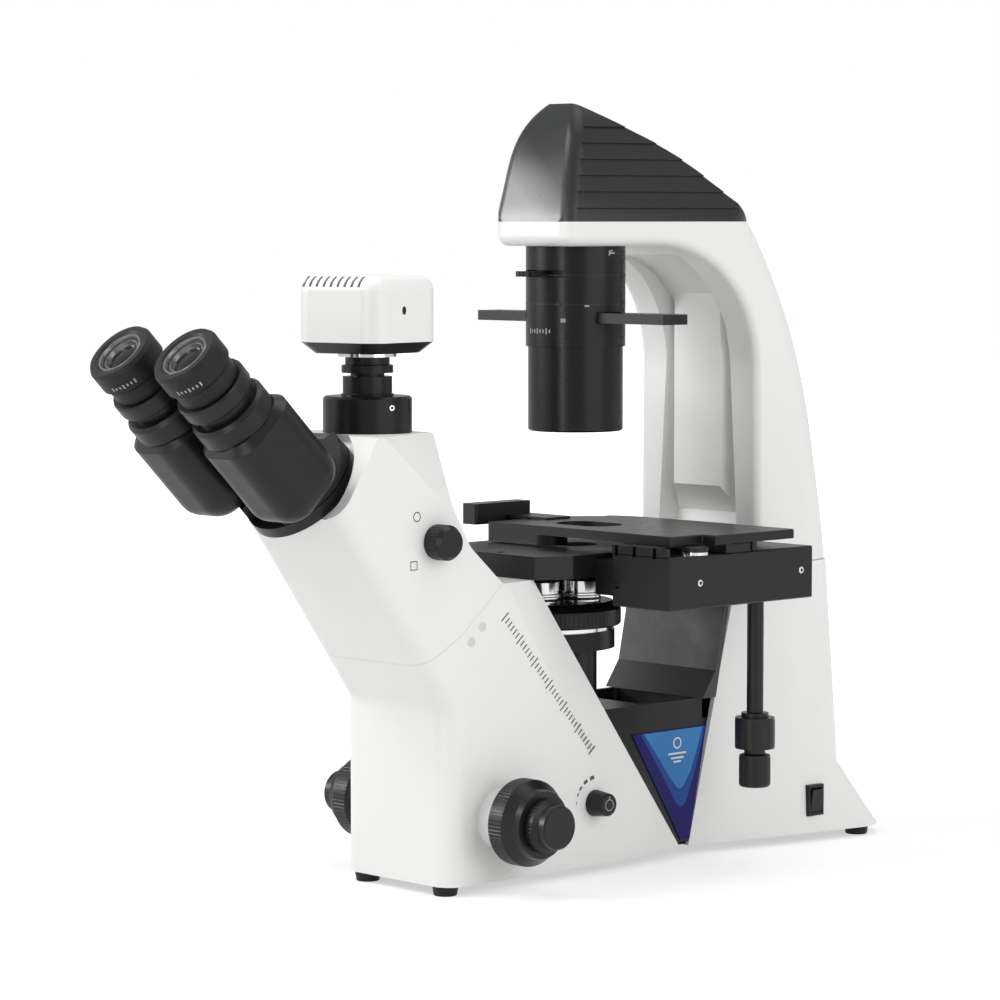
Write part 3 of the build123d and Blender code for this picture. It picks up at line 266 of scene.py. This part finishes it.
# Moves only what was added since the last call
def settle(bm, place):
    fresh = [v for v in bm.verts if not v.tag]
    bmesh.ops.transform(bm, matrix=place, verts=fresh)
    for v in bm.verts:
        v.tag = True


def spinProfile(bm, profile, place, steps=40):
    ring = [bm.verts.new((radius, 0, height)) for radius, height in profile]
    edges = [bm.edges.new(pair) for pair in zip(ring, ring[1:])]
    bmesh.ops.spin(bm, geom=ring + edges, axis=(0, 0, 1), cent=(0, 0, 0), angle=2 * pi, steps=steps,
                   use_merge=True)
    settle(bm, place)


def flatShape(bm, corners, place, thick):
    face = bm.faces.new([bm.verts.new((a, b, 0)) for a, b in corners])
    raised = bmesh.ops.extrude_face_region(bm, geom=[face])
    top = [item for item in raised["geom"] if isinstance(item, bmesh.types.BMVert)]
    bmesh.ops.translate(bm, vec=(0, 0, thick), verts=top)
    settle(bm, place)


def mirrorX(bm):
    twin = bmesh.ops.duplicate(bm, geom=bm.verts[:] + bm.edges[:] + bm.faces[:])
    verts = [item for item in twin["geom"] if isinstance(item, bmesh.types.BMVert)]
    bmesh.ops.transform(bm, matrix=flipX, verts=verts)


def boxCorners(a, b, halfA, halfB, turn=0.0):
    c = cos(turn)
    s = sin(turn)
    raw = [(-halfA, -halfB), (halfA, -halfB), (halfA, halfB), (-halfA, halfB)]
    return [(a + u * c - v * s, b + u * s + v * c) for u, v in raw]


# Profile of a screw head with a round socket. Shares are of its radius, heights are from its face
def screwHead(screw):
    r = screw["radius"]
    well, lip, flat = screw["shares"]
    floor, top, rim, root = screw["heights"]
    return [(0, floor), (r * well, floor), (r * lip, top), (r * flat, top), (r, rim), (r, root)]


# Round plugs over the screws that hold the head
plugs = dict(side=51.0, radius=3.2, rise=0.45, flatShare=0.7, rim=0.1, root=-0.5,
             spots=[(-132.7, 170.8), (-142.2, 161.8)])


def headPlugs():
    bm = bmesh.new()
    r = plugs["radius"]
    rise = plugs["rise"]
    dome = [(0, rise), (r * plugs["flatShare"], rise), (r, plugs["rim"]), (r, plugs["root"])]
    for y, z in plugs["spots"]:
        spinProfile(bm, dome, acrossX(plugs["side"], y, z))
    mirrorX(bm)
    addPiece("headPlugs", bm, "stand", "plugPaint")


headPlugs()

# Socket screws on the right face of the stage block, and the bright washer under its clamp
blockScrew = dict(face=131.0, radius=2.3, shares=(0.45, 0.5, 0.85), heights=(-0.2, 0.7, 0.4, -0.6),
                  spots=[(-17.6, 196.5), (78.4, 198.6)])
washer = dict(radius=8.65, bore=5.1, low=0.02, high=2.2, bevel=0.3, place=(124.0, -15.0, 214.0))


def blockScrews():
    bm = bmesh.new()
    for y, z in blockScrew["spots"]:
        spinProfile(bm, screwHead(blockScrew), acrossX(blockScrew["face"], y, z), steps=24)
    addPiece("blockScrews", bm, "stage_y", "plating")


def clampWasher():
    bm = bmesh.new()
    r = washer["radius"]
    low = washer["low"]
    high = washer["high"]
    bore = washer["bore"]
    bevel = washer["bevel"]
    profile = [(bore, low), (r, low), (r, high - bevel), (r - bevel, high), (bore, high)]
    spinProfile(bm, profile, upright(*washer["place"]), 64)
    addPiece("clampWasher", bm, "stage_y", "plating")


blockScrews()
clampWasher()

# Blue V on each side: paler shields on the navy field, and a ring over three bars
badge = dict(face=41.3, thick=0.12, emblem=(55.5, 77.5), ink=0.05, ringIn=2.9, ringOut=3.9,
             barHalf=0.6, bars=[(7.0, 8.5), (10.0, 6.0), (12.6, 3.5)])
badgeShapes = {
    "badgeMid": [(20.4, 86.4), (83.2, 86.4), (77.9, 71.2), (71.4, 53.7), (64.0, 36.6), (61.8, 34.8),
                 (59.2, 34.3), (56.4, 35.2), (54.2, 37.4), (47.7, 47.1), (32.7, 69.7)],
    "badgePale": [(23.4, 86.4), (80.0, 86.4), (74.6, 71.5), (68.2, 57.0), (61.7, 48.3), (60.2, 46.9),
                  (58.5, 46.4), (56.4, 46.7), (54.6, 47.9), (47.7, 55.4), (34.8, 72.4)],
}


def badgeShields():
    lift = 0.0
    for finish, corners in badgeShapes.items():
        bm = bmesh.new()
        flatShape(bm, corners, acrossX(badge["face"] + lift, 0, 0), badge["thick"])
        mirrorX(bm)
        addPiece(finish, bm, "stand", finish)
        lift += badge["thick"]
    bm = bmesh.new()
    y, z = badge["emblem"]
    ring = [(badge["ringIn"], badge["ink"]), (badge["ringOut"], badge["ink"]), (badge["ringOut"], 0)]
    spinProfile(bm, ring, acrossX(badge["face"] + lift, y, z), 36)
    for drop, half in badge["bars"]:
        bar = boxCorners(y, z - drop, half, badge["barHalf"])
        flatShape(bm, bar, acrossX(badge["face"] + lift, 0, 0), badge["ink"])
    mirrorX(bm)
    addPiece("badgeEmblem", bm, "stand", "whiteInk")


badgeShields()

# Printed marks: brightness wedge, selector signs and a plain scale along the slanted edge.
# A wedge entry is the angle round the knob, then half its depth and half its width
marks = dict(face=51.0, ink=0.06, dimmer=(-32.0, 47.5), dimmerReach=16.9,
             wedge=[(175, 0.3, 1.0), (156, 0.5, 1.2), (140, 0.8, 1.5), (120, 1.1, 1.8), (99, 1.3, 2.0)],
             ring=(-188.4, 243.5), ringIn=2.5, ringOut=3.2, square=(-191.0, 213.2), squareHalf=2.6,
             lineHalf=0.3, scaleFrom=(-113.0, 175.6), scaleTo=(-34.7, 82.6), scaleCount=37,
             tickHalf=0.45, longEvery=6, longReach=4.0, shortReach=2.4)


def printedMarks():
    bm = bmesh.new()
    ink = marks["ink"]
    place = acrossX(marks["face"], 0, 0)
    y0, z0 = marks["dimmer"]
    for around, deep, wide in marks["wedge"]:
        angle = radians(around)
        y = y0 + marks["dimmerReach"] * cos(angle)
        z = z0 + marks["dimmerReach"] * sin(angle)
        flatShape(bm, boxCorners(y, z, deep, wide, angle), place, ink)
    ring = [(marks["ringIn"], ink), (marks["ringOut"], ink), (marks["ringOut"], 0)]
    spinProfile(bm, ring, acrossX(marks["face"], *marks["ring"]), 32)
    y, z = marks["square"]
    half = marks["squareHalf"]
    line = marks["lineHalf"]
    for side in (-half, half):
        flatShape(bm, boxCorners(y + side, z, line, half), place, ink)
        flatShape(bm, boxCorners(y, z + side, half + line, line), place, ink)
    start = Vector(marks["scaleFrom"])
    run = Vector(marks["scaleTo"]) - start
    turn = run.angle_signed(Vector((1, 0)))
    for step in range(marks["scaleCount"]):
        spot = start + run * step / (marks["scaleCount"] - 1)
        reach = marks["shortReach"] if step % marks["longEvery"] else marks["longReach"]
        flatShape(bm, boxCorners(spot.x, spot.y, marks["tickHalf"], reach, turn), place, ink)
    addPiece("printedMarks", bm, "stand", "greyInkAndShade")


printedMarks()

# Condenser: fine parting rings, a stop screw and plain index ticks.
# A tick is its angle and height on the barrel, then half its width and half its length
condenser = dict(radius=33.0, rings=[372.0, 391.0], ringRise=0.12, ringHalf=0.35, ringInset=0.3,
                 screw=[(0, 0.6), (1.1, 0.6), (1.5, 0.3), (1.5, -0.4)], screwAngle=-64.0, screwHeight=372.0,
                 ink=0.05,
                 ticks=[(-31.6, 371.0, 1.6, 0.5), (-59.0, 361.5, 0.4, 1.3), (-57.0, 361.5, 0.4, 1.3),
                        (-61.0, 361.5, 0.4, 1.3), (1.6, 405.5, 2.6, 0.5), (-2.6, 405.5, 0.5, 1.6),
                        (0.6, 407.0, 1.2, 0.4)],
                 scaleStart=-108.0, scaleStep=4.6, scaleCount=8, scaleHeight=354.3, scaleHalf=0.4,
                 longEvery=3, longReach=1.9, shortReach=1.1)


def condenserTrim():
    bm = bmesh.new()
    barrel = upright(0, 0, 0)
    r = condenser["radius"]
    root = r - condenser["ringInset"]
    rise = r + condenser["ringRise"]
    h = condenser["ringHalf"]
    for z in condenser["rings"]:
        spinProfile(bm, [(root, z - h), (rise, z - h), (rise, z + h), (root, z + h)], barrel, 96)
    screwPlace = onBarrel(barrel, r, condenser["screwAngle"], condenser["screwHeight"])
    spinProfile(bm, condenser["screw"], screwPlace, 20)
    addPiece("condenserTrim", bm, "stand", "blackPlastic")
    bm = bmesh.new()
    ticks = list(condenser["ticks"])
    for step in range(condenser["scaleCount"]):
        angle = condenser["scaleStart"] + step * condenser["scaleStep"]
        reach = condenser["shortReach"] if step % condenser["longEvery"] else condenser["longReach"]
        ticks.append((angle, condenser["scaleHeight"], condenser["scaleHalf"], reach))
    for angle, z, halfWide, halfTall in ticks:
        corners = boxCorners(0, 0, halfWide, halfTall)
        flatShape(bm, corners, onBarrel(barrel, r, angle, z), condenser["ink"])
    addPiece("condenserTicks", bm, "stand", "paleInk")


condenserTrim()

# Eyepieces: a stepped retaining ring round each lens and plain ticks on the barrel.
# The rings' profiles are radius and height from the end of the tube
eye = dict(lean=45.0, pivotS=350.0, pivotT=16.0, spread=31.3, drop=21.8, end=148.6, radius=22.2,
           rings=[[(15.6, -1.6), (15.0, -0.9), (14.0, -0.9), (13.6, -1.6), (13.2, -3.6)],
                  [(12.4, -3.9), (12.0, -3.2), (11.2, -3.2), (10.7, -4.6), (10.2, -5.6)]],
           tickHeight=137.5, tickStart=-78.0, tickStep=7.0, tickCount=7, tickHalf=0.5, ink=0.05,
           longEvery=3, longReach=1.5, shortReach=0.9)


def tubeFrame(side):
    c = cos(radians(eye["lean"]))
    s = sin(radians(eye["lean"]))
    y = eye["pivotT"] * c - eye["pivotS"] * s - eye["drop"] * c
    z = eye["pivotT"] * c + eye["pivotS"] * s - eye["drop"] * s
    return Matrix(((1, 0, 0, side * eye["spread"]), (0, c, -s, y), (0, s, c, z), (0, 0, 0, 1)))


def eyeTrim():
    for side, hand, body in ((1, "Right", "eye_tube_right"), (-1, "Left", "eye_tube_left")):
        place = tubeFrame(side)
        bm = bmesh.new()
        for ring in eye["rings"]:
            spinProfile(bm, [(radius, eye["end"] + height) for radius, height in ring], place, 72)
        addPiece("eyeRings" + hand, bm, body, "satinRing")
        bm = bmesh.new()
        for step in range(eye["tickCount"]):
            reach = eye["shortReach"] if step % eye["longEvery"] else eye["longReach"]
            angle = eye["tickStart"] + step * eye["tickStep"]
            spot = onBarrel(place, eye["radius"], angle, eye["tickHeight"])
            flatShape(bm, boxCorners(0, 0, eye["tickHalf"], reach), spot, eye["ink"])
        addPiece("eyeTicks" + hand, bm, body, "paleInk")


eyeTrim()

# Camera: a dark socket on its right face, and dark sheets on the floors of its vent slots as painted shade
cameraTrim = dict(turn=9.2, portY=-184.0, face=33.0, socketY=-4.0, socketZ=371.0, socketHalf=(1.9, 2.7),
                  socketSteps=28, socketThick=0.08, ventCount=9, ventPitch=5.6, ventEdge=-31.5,
                  ventTop=391.0, ventFloor=-2.97, ventHalf=(1.05, 4.4), ventThick=0.05)
cameraPlace = upright(0, cameraTrim["portY"], 0) @ Matrix.Rotation(radians(cameraTrim["turn"]), 4, "Z")


def cameraSocket():
    bm = bmesh.new()
    halfY, halfZ = cameraTrim["socketHalf"]
    oval = []
    for step in range(cameraTrim["socketSteps"]):
        angle = step * 2 * pi / cameraTrim["socketSteps"]
        y = cameraTrim["socketY"] + halfY * cos(angle)
        z = cameraTrim["socketZ"] + halfZ * sin(angle)
        oval.append((y, z))
    flatShape(bm, oval, cameraPlace @ acrossX(cameraTrim["face"], 0, 0), cameraTrim["socketThick"])
    addPiece("cameraSocket", bm, "camera", "blackPlastic")


def cameraVentShade():
    bm = bmesh.new()
    slant = Matrix.Rotation(pi / 4, 4, "X") @ upright(0, 0, cameraTrim["ventFloor"])
    for slot in range(cameraTrim["ventCount"]):
        x = (slot - cameraTrim["ventCount"] / 2) * cameraTrim["ventPitch"]
        place = cameraPlace @ upright(x, cameraTrim["ventEdge"], cameraTrim["ventTop"]) @ slant
        # Each sheet is painted shade: a dark patch where the slot is only shaded
        flatShape(bm, boxCorners(0, 0, *cameraTrim["ventHalf"]), place, cameraTrim["ventThick"])
    addPiece("cameraVentShade", bm, "camera", "greyInkAndShade")


cameraSocket()
cameraVentShade()

# Port collar: a small clamping screw
collar = dict(radius=1.9, shares=(0.5, 0.55, 0.9), heights=(-0.3, 0.25, 0, -0.5),
              barrelRadius=28.2, angle=-8.7, height=310.3)


def collarScrew():
    bm = bmesh.new()
    barrel = upright(0, cameraTrim["portY"], 0)
    place = onBarrel(barrel, collar["barrelRadius"], collar["angle"], collar["height"])
    spinProfile(bm, screwHead(collar), place, 24)
    addPiece("collarScrew", bm, "stand", "plating")


collarScrew()

# Brightness knob: a pale ring and pointer on its end face
pointer = dict(face=64.5, y=-32.0, z=47.5, ringIn=3.3, ringOut=3.8, reach=5.6, half=0.35, ink=0.05)


def knobPointer():
    bm = bmesh.new()
    ink = pointer["ink"]
    out = pointer["ringOut"]
    place = acrossX(pointer["face"], pointer["y"], pointer["z"])
    spinProfile(bm, [(pointer["ringIn"], ink), (out, ink), (out, 0)], place, 36)
    stroke = boxCorners(0, (out + pointer["reach"]) / 2, pointer["half"], (pointer["reach"] - out) / 2)
    flatShape(bm, stroke, place, ink)
    addPiece("knobPointer", bm, "dimmer", "paleInk")


knobPointer()

# Objectives: a pale band and a dark band round each barrel, at heights over the seat
objective = dict(count=5, pitch=25.0, turretY=-25.0, seat=177.0, radius=12.4, rise=0.12, inset=0.3)
objectiveBands = [("objectivePale", 4.2, 5.0, "paleInk"), ("objectiveDark", 1.6, 3.4, "blackPlastic")]


def objectiveRings():
    root = objective["radius"] - objective["inset"]
    out = objective["radius"] + objective["rise"]
    for name, low, high, finish in objectiveBands:
        bm = bmesh.new()
        for number in range(objective["count"]):
            angle = pi / 2 + number * 2 * pi / objective["count"]
            x = objective["pitch"] * cos(angle)
            y = objective["turretY"] + objective["pitch"] * sin(angle)
            band = [(root, low), (out, low), (out, high), (root, high)]
            spinProfile(bm, band, upright(x, y, objective["seat"]), 48)
        addPiece(name, bm, "turret", finish)


objectiveRings()

# Grip sleeves: fluted bands over the plain knobs, from low to high along each knob's axis
focusAxis = acrossX(0, -117.0, 47.0)
dropAxis = upright(105.0, 63.0, 0)
grips = [
    dict(name="coarseGrip", body="coarse_drive", radius=27.7, flutes=72, depth=0.3, low=69.0, high=80.0,
         place=focusAxis, twin=True),
    dict(name="fineGrip", body="fine_drive", radius=17.2, flutes=48, depth=0.28, low=91.2, high=96.6,
         place=focusAxis, twin=True),
    dict(name="upperDropGrip", body="y_knob", radius=13.2, flutes=20, depth=1.0, low=81.0, high=99.0,
         place=dropAxis, twin=False),
    dict(name="lowerDropGrip", body="x_knob", radius=10.4, flutes=32, depth=0.5, low=56.5, high=74.0,
         place=dropAxis, twin=False),
    dict(name="turretGrip", body="turret", radius=48.2, flutes=90, depth=0.6, low=162.5, high=171.0,
         place=upright(0, -25.0, 0), twin=False),
    dict(name="selectorGrip", body="selector", radius=11.2, flutes=28, depth=0.5, low=53.0, high=62.0,
         place=acrossX(0, -172.0, 227.0), twin=False),
    dict(name="clampGrip", body="stage_clamp", radius=8.9, flutes=24, depth=0.4, low=216.8, high=218.7,
         place=upright(124.0, -15.0, 0), twin=False),
]


def gripSleeve(grip):
    bm = bmesh.new()
    ring = bmesh.ops.create_circle(bm, cap_ends=True, radius=grip["radius"], segments=grip["flutes"] * 4)
    rim = ring["verts"]
    for index, v in enumerate(rim):
        if index % 4 in (2, 3):
            v.co *= 1 - grip["depth"] / grip["radius"]
    bmesh.ops.translate(bm, vec=(0, 0, grip["low"]), verts=rim)
    raised = bmesh.ops.extrude_face_region(bm, geom=bm.faces[:])
    top = [item for item in raised["geom"] if isinstance(item, bmesh.types.BMVert)]
    bmesh.ops.translate(bm, vec=(0, 0, grip["high"] - grip["low"]), verts=top)
    bmesh.ops.transform(bm, matrix=grip["place"], verts=bm.verts)
    if grip["twin"]:
        mirrorX(bm)
    addPiece(grip["name"], bm, grip["body"], "blackPlastic", sharp=25)


for grip in grips:
    gripSleeve(grip)
print("small pieces made")


# Floor: white to the camera, plainly lit under the object so that its shadow stays
floorSet = dict(size=14.0, grey=0.82, glow=1.5, nearShare=0.37, fadeFrom=0.3, fadeRate=0.9, mirrorShare=0.4)


def makeFloor():
    bm = bmesh.new()
    bmesh.ops.create_grid(bm, x_segments=1, y_segments=1, size=floorSet["size"] / 2)
    mesh = bpy.data.meshes.new("floor")
    bm.to_mesh(mesh)
    bm.free()
    floor = bpy.data.objects.new("floor", mesh)
    bpy.context.collection.objects.link(floor)
    material = bpy.data.materials.new("paleFloor")
    material.use_nodes = True
    shader = Shader(material.node_tree)
    place = shader.node("ShaderNodeTexCoord", out=3)
    reach = shader.node("ShaderNodeVectorMath", {"operation": "LENGTH"}, {0: place}, out=1)
    seen = shader.node("ShaderNodeLightPath", out="Is Camera Ray")
    mirrored = shader.node("ShaderNodeLightPath", out="Is Glossy Ray")
    plain = shader.node("ShaderNodeBsdfDiffuse", None, {"Color": rgba((floorSet["grey"],) * 3)})
    glow = shader.node("ShaderNodeEmission", None, {"Color": (1, 1, 1, 1), "Strength": floorSet["glow"]})
    far = shader.node("ShaderNodeMath", {"operation": "MAXIMUM", "use_clamp": True},
                      {0: (reach - floorSet["fadeFrom"]) * floorSet["fadeRate"], 1: floorSet["nearShare"]})
    share = seen * far + mirrored * floorSet["mirrorShare"]
    done = shader.node("ShaderNodeMixShader", None, {0: share, 1: plain, 2: glow})
    shader.node("ShaderNodeOutputMaterial", None, {"Surface": done})
    mesh.materials.append(material)


# World: white to the camera and through glass, dimmer as a light
worldSet = dict(light=0.5, white=1.0, mirrorShare=0.3)


def makeWorld():
    world = bpy.data.worlds.new("studio")
    bpy.context.scene.world = world
    world.use_nodes = True
    shader = Shader(world.node_tree)
    seen = shader.node("ShaderNodeLightPath", out="Is Camera Ray")
    mirrored = shader.node("ShaderNodeLightPath", out="Is Glossy Ray")
    through = shader.node("ShaderNodeLightPath", out="Is Transmission Ray")
    lit = shader.node("ShaderNodeBackground", None, {"Color": (1, 1, 1, 1), "Strength": worldSet["light"]})
    white = shader.node("ShaderNodeBackground", None, {"Color": (1, 1, 1, 1), "Strength": worldSet["white"]})
    share = seen + mirrored * worldSet["mirrorShare"] + through
    done = shader.node("ShaderNodeMixShader", None, {0: share, 1: lit, 2: white})
    shader.node("ShaderNodeOutputWorld", None, {"Surface": done})


# Softboxes, in metres and watts. A sheenOnly lamp shows in reflections and lights nothing else
lamps = [
    dict(name="keySoftbox", power=46.0, size=(1.2, 1.2), place=(-0.9, -1.8, 2.0), aim=(0, -0.05, 0.25),
         sheenOnly=False),
    dict(name="sheenSoftbox", power=23.0, size=(0.7, 0.45), place=(-1.55, -1.6, 0.8), aim=(0, -0.05, 0.44),
         sheenOnly=True),
    dict(name="stripSoftbox", power=9.0, size=(0.25, 1.3), place=(0.52, -2.15, 0.6), aim=(0, 0, 0.3),
         sheenOnly=True),
    dict(name="sideSoftbox", power=22.0, size=(2.0, 1.8), place=(2.2, 0.1, 1.0), aim=(0, 0, 0.22),
         sheenOnly=False),
    dict(name="topSoftbox", power=14.0, size=(1.4, 1.4), place=(0.2, 0.3, 2.4), aim=(0, 0, 0.2),
         sheenOnly=False),
]


def facing(place, aim):
    return (Vector(aim) - Vector(place)).to_track_quat("-Z", "Y").to_euler()


def makeLamp(setting):
    light = bpy.data.lights.new(setting["name"], "AREA")
    light.energy = setting["power"]
    light.shape = "RECTANGLE"
    light.size, light.size_y = setting["size"]
    lamp = bpy.data.objects.new(setting["name"], light)
    lamp.location = setting["place"]
    lamp.visible_diffuse = not setting["sheenOnly"]
    lamp.rotation_euler = facing(setting["place"], setting["aim"])
    bpy.context.collection.objects.link(lamp)


cameraSet = dict(lens=133.98, sensor=36.0, clipEnd=50, place=(1.7555, -1.7350, 0.4292),
                 aim=(-0.03445, -0.03630, 0.2414))


def makeCamera():
    data = bpy.data.cameras.new("camera")
    data.lens = cameraSet["lens"]
    data.sensor_width = cameraSet["sensor"]
    data.clip_end = cameraSet["clipEnd"]
    camera = bpy.data.objects.new("camera", data)
    camera.location = cameraSet["place"]
    camera.rotation_euler = facing(cameraSet["place"], cameraSet["aim"])
    bpy.context.collection.objects.link(camera)
    bpy.context.scene.camera = camera


makeFloor()
makeWorld()
for setting in lamps:
    makeLamp(setting)
makeCamera()
bpy.context.scene.view_settings.view_transform = "Standard"
print("floor, light and camera set")
